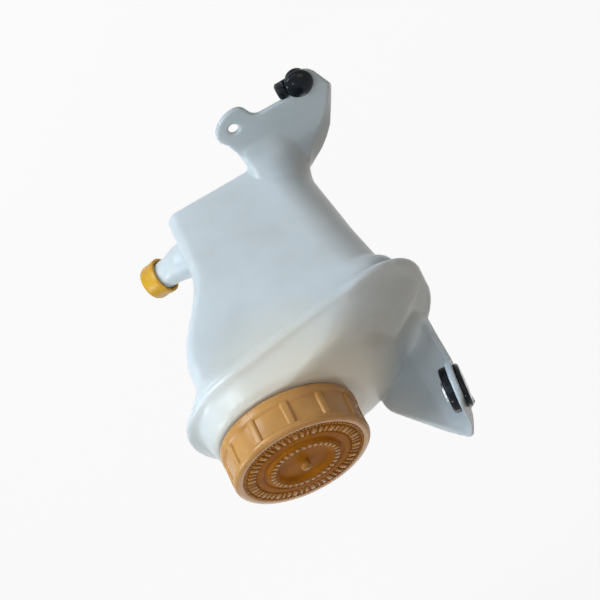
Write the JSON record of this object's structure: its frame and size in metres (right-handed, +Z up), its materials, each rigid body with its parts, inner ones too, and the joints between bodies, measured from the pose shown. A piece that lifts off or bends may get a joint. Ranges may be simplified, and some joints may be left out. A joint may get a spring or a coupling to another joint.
{
  "type": "power steering reservoir",
  "caption": "Car power steering fluid reservoir: a milky two-shell tank with a screw cap, two plugged hose ports, a bushed ear bracket and a foot bracket with a rubber button.",
  "frame": {"origin": "centre of the rubber bush in the ear bracket, where the upper bolt holds the tank", "axes": "+Z up along the filler neck, +X from the ear bracket toward the filler neck, +Y from the foot bracket's side to the back of the tank"},
  "size_m": [0.1475, 0.1306, 0.1726],
  "materials": {
    "tank_plastic": "milky translucent, satin",
    "cap_plastic": "semi-gloss, moulded ochre",
    "plug_plastic": "soft, semi-gloss amber",
    "nylon": "natural",
    "rubber": "satin",
    "wire_mesh": "woven wire",
    "sleeve_steel": "zinc plated"
  },
  "bodies": {
    "tank": {"lower_shell": "tank_plastic", "upper_shell": "tank_plastic", "strainer_frame": "nylon", "strainer_mesh": "wire_mesh", "baffle_plate": "nylon", "suction_filter_frame": "nylon", "suction_filter_mesh": "wire_mesh", "ear_grommet": "rubber", "ear_sleeve": "sleeve_steel", "foot_grommet": "rubber"},
    "cap_insert": {"cap_liner": "nylon", "cap_gasket": "rubber", "vent_valve": "rubber"},
    "cap": {"filler_cap": "cap_plastic"},
    "return_plug_body": {"return_plug": "plug_plastic"},
    "suction_plug_body": {"suction_plug": "plug_plastic"}
  },
  "joints": [
    {"name": "cap_lift", "type": "slide", "parent": "tank", "child": "cap_insert", "axis": [0, 0, 1], "range_m": [0, 0.0101]},
    {"name": "cap_turn", "type": "hinge", "parent": "cap_insert", "child": "cap", "pos_m": [0.0801, -0.013, 0.0008], "axis": [0, 0, 1], "range_deg": [0, 900]},
    {"name": "return_plug_pull", "type": "slide", "parent": "tank", "child": "return_plug_body", "axis": [0.9131, 0.3689, -0.1736], "range_m": [0, 0.03]},
    {"name": "suction_plug_pull", "type": "slide", "parent": "tank", "child": "suction_plug_body", "axis": [0, 1, 0], "range_m": [0, 0.03]}
  ],
  "couplings": [
    {"joint": "cap_lift", "follows": "cap_turn", "m_per_rad": 0.00063662}
  ]
}
